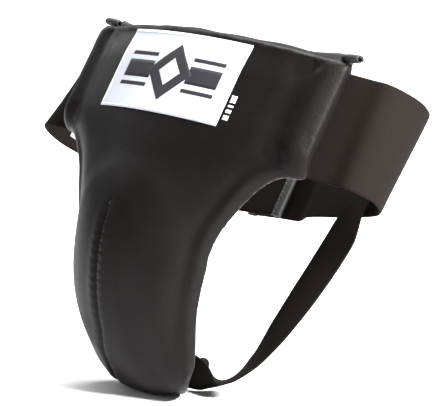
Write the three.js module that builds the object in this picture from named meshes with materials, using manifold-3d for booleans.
// Groin protector: a padded front guard with a hard cup inside, an elastic waist belt in two
// halves that close at the back with hook and loop, and two elastic leg straps.
//
// Millimetres. The parts are laid out in the guard's own frame: X to the wearer's left,
// Y towards the wearer's back, Z up along the waist belt's axis, and the origin at the middle of
// the guard's top edge, on its front face. The whole guard then leans back on its folded tip.

import * as THREE from 'three';
import { mergeVertices } from 'three/addons/utils/BufferGeometryUtils.js';
import Module from 'manifold-3d';

const wasm = await Module();
wasm.setup();

// ---------------------------------------------------------------- driving dimensions

const LEAN = THREE.MathUtils.degToRad(32);   // how far the waist belt's axis tips back

// Front guard, measured flat along its face: x across, s down from the top edge.
const PANEL_HALF_WIDTH = 144;
const PANEL_SIDE = 90;
const PANEL_CORNER = 12;
const TONGUE_HALF_WIDTH = 76;
const TONGUE_START = 175;
const TONGUE_LOW_HALF_WIDTH = 67;
const TONGUE_LOW = 250;
const TIP_HALF_WIDTH = 20;
const GUARD_LENGTH = 328;
const TIP_FLATTEN = 0.8;        // how far the padded tip is pressed flat where it stands

// Its side profile: straight, then a long curve under, then a short fold at the tip.
const STRAIGHT = 130;
const UNDER_RADIUS = 135;
const UNDER_ANGLE = THREE.MathUtils.degToRad(64);
const FOLD_RADIUS = 36;
const FOLD_END_ANGLE = Math.PI / 2 + LEAN;   // the end of the tip lies level on the floor

// How it bows from side to side, as radii of the bow.
const WAIST_BOW = 400;
const CUP_BOW = 80;
const TIP_BOW = 115;

// Layers, from the front face in, with a slip gap between them.
const GAP = 0.35;
const COVER = 1.3;
const EDGE_ROUND = 4.5;
const IMPACT_FOAM = 3.2;
const CUP_WALL = 2;
const CUP_GAP = 0.7;
const BODY_FOAM = 1.8;
const LINING = 1;

// The hard cup's own outline, flat along the guard's face.
const CUP_TOP = 112;
const CUP_BOTTOM = 266;
const CUP_HALF_WIDTH = 60;
const CUP_TOP_HALF_WIDTH = 36;
const CUP_END_HALF_WIDTH = 14;

const SEAM_ALLOWANCE = 12;      // how much of the belt is sewn behind each side of the guard
const SEW_EASE_TOP = 0.5;       // how far the belt's edges stand off the lining there
const SEW_EASE_BOTTOM = 1.4;
const HEM_HEIGHT = 15;
const HEM_STANDS = 3.5;
const HEM_THICKNESS = 1.4;
const TAB_LENGTH = 15;
const TAB_RADIUS = 3;

const PATCH_WIDTH = 136;
const PATCH_HEIGHT = 65;
const PATCH_DROP = 7;
const PATCH_SHIFT = -3;         // towards the wearer's right
const PATCH_THICKNESS = 0.6;

const ELASTIC = 80;             // width of the waist belt
const ELASTIC_THICKNESS = 1.8;
const ELASTIC_DROP = 4.6;       // its top edge below the guard's top edge
const CLOSURE_PILE = 1.2;       // thickness of the hook patch and of the loop patch
const CLOSURE_HEIGHT = 70;
const BINDING = 0.8;
const BINDING_DEPTH = 9;

const STRAP = 30;               // width of a leg strap
const STRAP_THICKNESS = 1.6;
const CROTCH_TAB = 30;          // how far the tab reaches up the inside of the tip

// ---------------------------------------------------------------- finishes

const finish = (color, roughness) => new THREE.MeshStandardMaterial({ color, roughness, metalness: 0 });
const leather = () => finish(0x17171a, 0.5);
const foam = () => finish(0x8f9297, 0.95);
const plastic = () => finish(0xd9dade, 0.4);
const tricot = () => finish(0x1d1c1f, 0.9);
const elastic = () => finish(0x1c1a1a, 0.85);
const pile = () => finish(0x151416, 0.95);
const whiteCloth = () => finish(0xeff1f4, 0.8);

// ---------------------------------------------------------------- the guard's curved face

// A point on the centre line at s, as [y, z], with the angle it has turned under.
function profile(s) {
  if (s <= STRAIGHT) return { y: 0, z: -s, angle: 0 };
  const under = Math.min((s - STRAIGHT) / UNDER_RADIUS, UNDER_ANGLE);
  let y = UNDER_RADIUS * (1 - Math.cos(under));
  let z = -STRAIGHT - UNDER_RADIUS * Math.sin(under);
  const foldStart = STRAIGHT + UNDER_RADIUS * UNDER_ANGLE;
  if (s <= foldStart) return { y, z, angle: under };
  const angle = Math.min(UNDER_ANGLE + (s - foldStart) / FOLD_RADIUS, FOLD_END_ANGLE);
  y += FOLD_RADIUS * (Math.cos(UNDER_ANGLE) - Math.cos(angle));
  z -= FOLD_RADIUS * (Math.sin(angle) - Math.sin(UNDER_ANGLE));
  const beyond = Math.max(0, s - foldStart - FOLD_RADIUS * (FOLD_END_ANGLE - UNDER_ANGLE));
  return { y: y + beyond * Math.sin(angle), z: z - beyond * Math.cos(angle), angle };
}

// Bow of the face across its width at s: the face sweeps back by bow * x * x.
function bow(s) {
  const cup = THREE.MathUtils.smoothstep(s, PANEL_SIDE - 20, STRAIGHT + 60);
  const tip = THREE.MathUtils.smoothstep(s, TONGUE_LOW - 10, GUARD_LENGTH - 14);
  const waistToCup = THREE.MathUtils.lerp(1 / WAIST_BOW, 1 / CUP_BOW, cup);
  return THREE.MathUtils.lerp(waistToCup, 1 / TIP_BOW, tip) / 2;
}

// A point of the guard: x across, s down the face, depth in from the front face.
function facePoint(x, s, depth) {
  const { y, z, angle } = profile(s);
  const slope = 2 * bow(s) * x;
  const length = Math.hypot(1, slope);
  const inward = bow(s) * x * x + depth / length;
  return new THREE.Vector3(
    x - depth * slope / length,
    y + inward * Math.cos(angle),
    z + inward * Math.sin(angle),
  );
}

// ---------------------------------------------------------------- building layers

// An edge is a list of points down the right side, each with the direction that points out.
function edgeOf(curves) {
  const points = curves.flatMap(([curve, steps], i) => curve.getPoints(steps).slice(i === 0 ? 0 : 1));
  return points.map((point, i) => {
    const before = points[Math.max(0, i - 1)];
    const after = points[Math.min(points.length - 1, i + 1)];
    const along = after.clone().sub(before).normalize();
    const out = { x: along.y, s: -along.x };
    if (i === 0) out.s = -1;
    if (i === points.length - 1) out.s = 1;
    return { x: point.x, s: point.y, out };
  });
}

// A closed layer: rings of (inset from the edge, depth), the first and the last of them filled,
// all of it moved across by shift.
function layer(edge, rings, columns, shift = 0) {
  const positions = [];
  const index = [];
  const stride = columns + 1;
  const last = edge.length - 1;
  for (const { inset, depth } of rings) {
    for (const { x, s, out } of edge) {
      for (let column = 0; column <= columns; column += 1) {
        const across = shift + (x - inset * out.x) * (2 * column / columns - 1);
        positions.push(...facePoint(across, s - inset * out.s, depth).toArray());
      }
    }
  }
  const at = (ring, row, column) => (ring * edge.length + row) * stride + column;
  const fill = (ring, flip) => {
    for (let row = 0; row < last; row += 1) {
      for (let column = 0; column < columns; column += 1) {
        const corner = at(ring, row, column);
        const below = at(ring, row + 1, column);
        const opposite = at(ring, row + 1, column + 1);
        const beside = at(ring, row, column + 1);
        const [second, fourth] = flip ? [beside, below] : [below, beside];
        index.push(corner, second, opposite, corner, opposite, fourth);
      }
    }
  };
  const loop = [];
  for (let row = 0; row < last; row += 1) loop.push([row, 0]);
  for (let column = 0; column < columns; column += 1) loop.push([last, column]);
  for (let row = last; row > 0; row -= 1) loop.push([row, columns]);
  for (let column = columns; column > 0; column -= 1) loop.push([0, column]);
  fill(0, false);
  for (let ring = 0; ring + 1 < rings.length; ring += 1) {
    loop.forEach(([row, column], i) => {
      const [nextRow, nextColumn] = loop[(i + 1) % loop.length];
      const front = at(ring, row, column);
      const back = at(ring + 1, row, column);
      const nextFront = at(ring, nextRow, nextColumn);
      const nextBack = at(ring + 1, nextRow, nextColumn);
      index.push(front, back, nextBack, front, nextBack, nextFront);
    });
  }
  fill(rings.length - 1, true);
  return closedGeometry(positions, index);
}

function closedGeometry(positions, index) {
  const geometry = new THREE.BufferGeometry();
  geometry.setAttribute('position', new THREE.Float32BufferAttribute(positions, 3));
  geometry.setIndex(index);
  const loose = geometry.toNonIndexed();
  loose.computeVertexNormals();
  return loose;
}

// A strip of webbing: stations of two edge points and the direction the strip runs there.
function strip(stations, thickness) {
  const positions = [];
  const index = [];
  for (const { upper, lower, along } of stations) {
    const half = lower.clone().sub(upper).cross(along).setLength(thickness / 2);
    positions.push(...upper.clone().add(half).toArray(), ...lower.clone().add(half).toArray());
    positions.push(...lower.clone().sub(half).toArray(), ...upper.clone().sub(half).toArray());
  }
  const quad = (a, b, c, d) => index.push(a, b, c, a, c, d);
  quad(0, 3, 2, 1);
  for (let i = 0; i + 1 < stations.length; i += 1) {
    const [a, b, c, d] = [0, 1, 2, 3].map((corner) => 4 * i + corner);
    quad(a, b, b + 4, a + 4);
    quad(b, c, c + 4, b + 4);
    quad(d, d + 4, c + 4, c);
    quad(d, a, a + 4, d + 4);
  }
  const end = 4 * (stations.length - 1);
  quad(end, end + 1, end + 2, end + 3);
  return closedGeometry(positions, index);
}

// ---------------------------------------------------------------- joining and cutting

function toSolid(geometry) {
  const bare = geometry.clone();
  bare.deleteAttribute('normal');
  bare.deleteAttribute('uv');
  const merged = mergeVertices(bare, 1e-4);
  const vertProperties = new Float32Array(merged.attributes.position.array);
  const triVerts = new Uint32Array(merged.index.array);
  return new wasm.Manifold(new wasm.Mesh({ numProp: 3, vertProperties, triVerts }));
}

function fromSolid(solid) {
  const mesh = solid.getMesh();
  return closedGeometry(Array.from(mesh.vertProperties), Array.from(mesh.triVerts));
}

const cut = (body, tool) => fromSolid(toSolid(body).subtract(toSolid(tool)));

// ---------------------------------------------------------------- the assembly

const guard = new THREE.Group();

function add(name, geometry, material) {
  const mesh = new THREE.Mesh(geometry, material);
  mesh.name = name;
  guard.add(mesh);
  return mesh;
}

const v2 = (x, s) => new THREE.Vector2(x, s);
const line = (a, b) => new THREE.LineCurve(a, b);
const bend = (a, b, c, d) => new THREE.CubicBezierCurve(a, b, c, d);

// ---- front guard, from the front in

const cornerStart = v2(PANEL_HALF_WIDTH, PANEL_SIDE - PANEL_CORNER);
const cornerEnd = v2(PANEL_HALF_WIDTH - PANEL_CORNER, PANEL_SIDE);
const cornerPoint = v2(PANEL_HALF_WIDTH, PANEL_SIDE);
const tongueTop = v2(TONGUE_HALF_WIDTH, TONGUE_START);
const tongueLow = v2(TONGUE_LOW_HALF_WIDTH, TONGUE_LOW);
const tipEnd = v2(TIP_HALF_WIDTH, GUARD_LENGTH);
const guardEdge = edgeOf([
  [line(v2(PANEL_HALF_WIDTH, 0), cornerStart), 3],
  [new THREE.QuadraticBezierCurve(cornerStart, cornerPoint, cornerEnd), 3],
  [bend(cornerEnd, v2(112, PANEL_SIDE), v2(80, 128), tongueTop), 6],
  [bend(tongueTop, v2(74, 200), v2(71, 225), tongueLow), 4],
  [bend(tongueLow, v2(63, 290), v2(47, 320), tipEnd), 7],
]);
const COLUMNS = 11;

const layerInset = COVER + 3 * GAP;
const foamStart = COVER + GAP;
const cupStart = foamStart + IMPACT_FOAM + CUP_GAP;
const bodyFoamStart = cupStart + CUP_WALL + CUP_GAP;
const liningStart = bodyFoamStart + BODY_FOAM + GAP;
const guardThickness = liningStart + LINING;

const cover = layer(guardEdge, [
  { inset: EDGE_ROUND, depth: 0 },
  { inset: EDGE_ROUND * 0.3, depth: EDGE_ROUND * 0.3 },
  { inset: 0, depth: EDGE_ROUND },
  { inset: 0, depth: guardThickness },
  { inset: COVER, depth: guardThickness },
  { inset: COVER, depth: EDGE_ROUND },
  { inset: EDGE_ROUND, depth: COVER },
], COLUMNS);

// The tip is pressed flat where it stands: a slab of floor cuts it, level once the guard leans.
const FLOOR_SLAB = 100;
const sole = facePoint(0, GUARD_LENGTH - EDGE_ROUND, 0);
const floorUp = new THREE.Vector3(0, -Math.sin(LEAN), Math.cos(LEAN));
const slabCentre = sole.clone().addScaledVector(floorUp, TIP_FLATTEN - FLOOR_SLAB / 2);
const floorSlab = new THREE.BoxGeometry(FLOOR_SLAB, FLOOR_SLAB, FLOOR_SLAB);
floorSlab.rotateX(LEAN);
floorSlab.translate(slabCentre.x, slabCentre.y, slabCentre.z);
add('front_cover', cut(cover, floorSlab), leather());

add('impact_foam', layer(guardEdge, [
  { inset: EDGE_ROUND + GAP, depth: foamStart },
  { inset: layerInset, depth: foamStart + IMPACT_FOAM },
], COLUMNS), foam());

const cupLength = CUP_BOTTOM - CUP_TOP;
const cupWide = v2(CUP_HALF_WIDTH, CUP_TOP + cupLength * 0.4);
const cupEdge = edgeOf([
  [bend(v2(CUP_TOP_HALF_WIDTH, CUP_TOP), v2(52, CUP_TOP), v2(CUP_HALF_WIDTH, 140), cupWide), 5],
  [bend(cupWide, v2(CUP_HALF_WIDTH, 222), v2(42, 262), v2(CUP_END_HALF_WIDTH, CUP_BOTTOM)), 7],
]);
const CUP_COLUMNS = 10;
add('groin_cup', layer(cupEdge, [
  { inset: 0, depth: cupStart },
  { inset: 0, depth: cupStart + CUP_WALL },
], CUP_COLUMNS), plastic());

const surround = layer(guardEdge, [
  { inset: layerInset, depth: cupStart },
  { inset: layerInset, depth: cupStart + CUP_WALL },
], COLUMNS);
const cupRoom = layer(cupEdge, [
  { inset: -1, depth: cupStart - CUP_GAP },
  { inset: -1, depth: cupStart + CUP_WALL + CUP_GAP },
], CUP_COLUMNS);
add('surround_foam', cut(surround, cupRoom), foam());

add('body_foam', layer(guardEdge, [
  { inset: layerInset, depth: bodyFoamStart },
  { inset: layerInset, depth: bodyFoamStart + BODY_FOAM },
], COLUMNS), foam());

add('inner_lining', layer(guardEdge, [
  { inset: layerInset, depth: liningStart },
  { inset: layerInset, depth: liningStart + LINING },
], COLUMNS), tricot());

// ---- hem along the top, its rolled ends and the badge patch

const hemStart = guardThickness + GAP;
const hemHalfWidth = PANEL_HALF_WIDTH - SEAM_ALLOWANCE - 2;
const hemEdge = edgeOf([
  [line(v2(hemHalfWidth, -HEM_STANDS), v2(hemHalfWidth, HEM_HEIGHT - HEM_STANDS)), 1],
]);
add('top_hem', layer(hemEdge, [
  { inset: 0, depth: hemStart },
  { inset: 0, depth: hemStart + HEM_THICKNESS },
], COLUMNS), tricot());

// The rolled end is a short flattened tube along X, with the tape's end curling into it.
function rolledEnd() {
  const shape = new THREE.Shape();
  shape.absarc(0, 0, TAB_RADIUS, -Math.PI * 0.75, Math.PI * 0.95, false);
  shape.absarc(0, 0, TAB_RADIUS - HEM_THICKNESS, Math.PI * 0.95, -Math.PI * 0.75, true);
  const roll = new THREE.ExtrudeGeometry(shape, { depth: TAB_LENGTH, bevelEnabled: false, curveSegments: 8 });
  roll.rotateY(Math.PI / 2);
  return roll;
}
for (const [name, side] of [['corner_tab_right', 1], ['corner_tab_left', -1]]) {
  const tab = add(name, rolledEnd(), tricot());
  const inner = facePoint(PANEL_HALF_WIDTH, 0, hemStart);
  const reach = side > 0 ? 0 : -TAB_LENGTH;
  tab.position.set(side * (inner.x - 6) + reach, inner.y - 7, TAB_RADIUS + 2 * GAP);
}

const patchEdge = edgeOf([
  [line(v2(PATCH_WIDTH / 2, PATCH_DROP), v2(PATCH_WIDTH / 2, PATCH_DROP + PATCH_HEIGHT)), 3],
]);
add('badge_patch', layer(patchEdge, [
  { inset: 0, depth: -GAP - PATCH_THICKNESS },
  { inset: 0, depth: -GAP },
], COLUMNS, PATCH_SHIFT), whiteCloth());

// ---- waist belt: the plan of each half, at its top edge and at its bottom edge

const beltTop = -ELASTIC_DROP;
const beltBottom = beltTop - ELASTIC;
const closureTurn = THREE.MathUtils.degToRad(11.2);
const closureAlong = new THREE.Vector3(-Math.cos(closureTurn), Math.sin(closureTurn), 0);
const closureOut = new THREE.Vector3(Math.sin(closureTurn), Math.cos(closureTurn), 0);
const closureStart = new THREE.Vector3(-10, 159, 0);     // on the inner half's middle surface
const layersApart = ELASTIC_THICKNESS + 2 * CLOSURE_PILE + 3 * GAP;
const OVERLAP = 52;

const onClosure = (along, out) => closureStart.clone()
  .addScaledVector(closureAlong, along)
  .addScaledVector(closureOut, out);

const at2 = (x, y) => new THREE.Vector3(x, y, 0);
const outerClosure = [-22, 0, OVERLAP / 2, OVERLAP].map((along) => onClosure(along, layersApart));
const innerClosure = [100, 75, 50, 25, 0].map((along) => onClosure(along, 0));

// The end of the belt lies flat behind the guard's side, at the top edge or the bottom edge.
// Its bottom edge stands further off, because the face begins to curve back there.
const sewnDepth = hemStart + ELASTIC_THICKNESS / 2;
const sewnEnd = (side, z) => [SEAM_ALLOWANCE, SEAM_ALLOWANCE / 2].map((inset) => {
  const ease = z < -PANEL_SIDE / 2 ? SEW_EASE_BOTTOM : SEW_EASE_TOP;
  return facePoint(side * (PANEL_HALF_WIDTH - inset), -z, sewnDepth + ease);
});

const plans = {
  belt_right: {
    top: [at2(153, 42), at2(167, 46), at2(174, 56), at2(177, 69),
      at2(173, 84), at2(160, 100), at2(118, 120), at2(70, 135), at2(36, 147)],
    bottom: [at2(153, 46), at2(168, 47), at2(176, 55), at2(179, 66),
      at2(173, 80), at2(158, 95), at2(116, 115), at2(70, 131), at2(36, 145)],
    closure: outerClosure,
    side: 1,
  },
  belt_left: {
    top: [at2(-154, 42), at2(-168, 49), at2(-177, 66), at2(-181, 92), at2(-173, 121), at2(-145, 146)],
    bottom: [at2(-154, 45), at2(-172, 43), at2(-190, 49),
      at2(-209, 72), at2(-216, 97), at2(-202, 130), at2(-160, 155)],
    closure: innerClosure,
    side: -1,
  },
};
const BELT_STEPS = 34;

function beltStations({ top, bottom, closure, side }) {
  const edge = (points, z) => new THREE.CatmullRomCurve3(
    [...sewnEnd(side, z), ...points, ...closure].map((point) => point.clone().setZ(z)),
  );
  const upper = edge(top, beltTop);
  const lower = edge(bottom, beltBottom);
  const upperPoints = upper.getSpacedPoints(BELT_STEPS);
  const lowerPoints = lower.getSpacedPoints(BELT_STEPS);
  return upperPoints.map((point, i) => {
    const along = upper.getTangentAt(i / BELT_STEPS).add(lower.getTangentAt(i / BELT_STEPS));
    return { upper: point, lower: lowerPoints[i], along };
  });
}

for (const name of ['belt_right', 'belt_left']) {
  add(name, strip(beltStations(plans[name]), ELASTIC_THICKNESS), elastic());
}

const beltMiddle = (beltTop + beltBottom) / 2;
function closurePatch(name, from, to, out) {
  const length = to - from;
  const patch = add(name, new THREE.BoxGeometry(length, CLOSURE_PILE, CLOSURE_HEIGHT), pile());
  patch.position.copy(onClosure((from + to) / 2, out)).setZ(beltMiddle);
  patch.rotation.z = -closureTurn;
}
const pileOffset = ELASTIC_THICKNESS / 2 + GAP + CLOSURE_PILE / 2;
closurePatch('hook_patch', 3, OVERLAP - BINDING_DEPTH - 2, layersApart - pileOffset);
closurePatch('loop_patch', BINDING_DEPTH + 2, 70, pileOffset);

// Folded tape over a belt end: a channel that wraps both faces and the cut edge.
function endBinding(name, along, direction, out) {
  const slot = ELASTIC_THICKNESS / 2 + GAP / 2;
  const skin = slot + BINDING;
  const shape = new THREE.Shape();
  shape.moveTo(-BINDING_DEPTH, -skin);
  shape.lineTo(GAP + BINDING, -skin);
  shape.lineTo(GAP + BINDING, skin);
  shape.lineTo(-BINDING_DEPTH, skin);
  shape.lineTo(-BINDING_DEPTH, slot);
  shape.lineTo(GAP, slot);
  shape.lineTo(GAP, -slot);
  shape.lineTo(-BINDING_DEPTH, -slot);
  const tape = add(name, new THREE.ExtrudeGeometry(shape, { depth: ELASTIC, bevelEnabled: false }), tricot());
  tape.position.copy(onClosure(along, out)).setZ(beltBottom);
  tape.rotation.z = -closureTurn + (direction > 0 ? Math.PI : 0);
}
endBinding('end_binding_right', OVERLAP, 1, layersApart);
endBinding('end_binding_left', 0, -1, 0);

// ---- care label, folded in two, in the left side seam

function careLabel() {
  const sheet = 0.4;
  const apart = 2.2;
  const reach = 20;
  const shape = new THREE.Shape();
  shape.moveTo(0, 0);
  shape.lineTo(reach, 0);
  shape.absarc(reach, apart / 2, apart / 2, -Math.PI / 2, Math.PI / 2, false);
  shape.lineTo(0, apart);
  shape.lineTo(0, apart - sheet);
  shape.lineTo(reach, apart - sheet);
  shape.absarc(reach, apart / 2, apart / 2 - sheet, Math.PI / 2, -Math.PI / 2, true);
  shape.lineTo(0, sheet);
  return new THREE.ExtrudeGeometry(shape, { depth: 26, bevelEnabled: false, curveSegments: 6 });
}
const label = add('care_label', careLabel(), whiteCloth());
label.position.set(-149, 48.5, beltBottom - 4);
label.rotation.z = THREE.MathUtils.degToRad(100);

// ---- crotch tab, sewn across the inside of the tip, and the leg straps that leave it

const tabEdge = edgeOf([
  [line(v2(TIP_HALF_WIDTH, GUARD_LENGTH - CROTCH_TAB), v2(TIP_HALF_WIDTH, GUARD_LENGTH - EDGE_ROUND)), 4],
]);
add('crotch_tab', layer(tabEdge, [
  { inset: 0, depth: hemStart + GAP },
  { inset: 0, depth: hemStart + GAP + STRAP_THICKNESS },
], 4), elastic());

// Each leg strap's route: points down its middle and the direction across it at each point.
const rightTop = [
  { point: [134, 100.4, -58], across: [0.9, -0.42, -0.15] },
  { point: [128.5, 102, -79], across: [0.9, -0.42, -0.15] },
  { point: [119.5, 108.5, -99], across: [0.94, 0.0, -0.34] },
  { point: [109.5, 113.8, -120], across: [0.93, 0.02, -0.36] },
  { point: [98, 117.5, -148], across: [0.91, -0.07, -0.4] },
  { point: [83, 121.5, -181], across: [0.85, -0.21, -0.48] },
];
const leftTop = [
  { point: [-169.5, 138.5, -58], across: [-0.8, -0.55, -0.2] },
  { point: [-160, 141, -84], across: [-0.8, -0.5, -0.25] },
  { point: [-141, 138, -113], across: [-0.85, -0.2, -0.4] },
  { point: [-116, 133, -148], across: [-0.85, 0.1, -0.45] },
  { point: [-90, 129, -181], across: [-0.85, 0, -0.4] },
];
const strapLow = [
  { point: [67, 126, -206], across: [0.8, -0.5, -0.35] },
  { point: [46, 127, -225], across: [0.6, -0.7, -0.2] },
  { point: [30, 118, -227], across: [0.2, -0.7, 0.6] },
  { point: [14, 112, -227], across: [0, -0.54, 0.84] },
];
const mirrored = ([x, y, z]) => [-x, y, z];
const strapRoutes = {
  leg_strap_right: [...rightTop, ...strapLow],
  leg_strap_left: [
    ...leftTop,
    ...strapLow.map(({ point, across }) => ({ point: mirrored(point), across: mirrored(across) })),
  ],
};
const STRAP_STEPS = 22;

function strapStations(knots) {
  const route = new THREE.CatmullRomCurve3(knots.map(({ point }) => new THREE.Vector3(...point)));
  const acrosses = new THREE.CatmullRomCurve3(knots.map(({ across }) => new THREE.Vector3(...across)));
  const stations = [];
  for (let i = 0; i <= STRAP_STEPS; i += 1) {
    const t = i / STRAP_STEPS;
    const centre = route.getPoint(t);
    const along = route.getTangent(t);
    const across = acrosses.getPoint(t);
    across.addScaledVector(along, -across.dot(along)).setLength(STRAP / 2);
    stations.push({ upper: centre.clone().add(across), lower: centre.clone().sub(across), along });
  }
  return stations;
}
for (const [name, knots] of Object.entries(strapRoutes)) {
  add(name, strip(strapStations(knots), STRAP_THICKNESS), elastic());
}

// ---- stand the guard on its tip, with the origin at the middle of the floor under it

guard.rotation.x = -LEAN;
guard.updateMatrixWorld(true);
const reach = new THREE.Box3().setFromObject(guard, true);
const centre = reach.getCenter(new THREE.Vector3());
guard.position.set(-centre.x, -centre.y, -reach.min.z);

const assembly = new THREE.Group();
assembly.add(guard);

export default assembly;
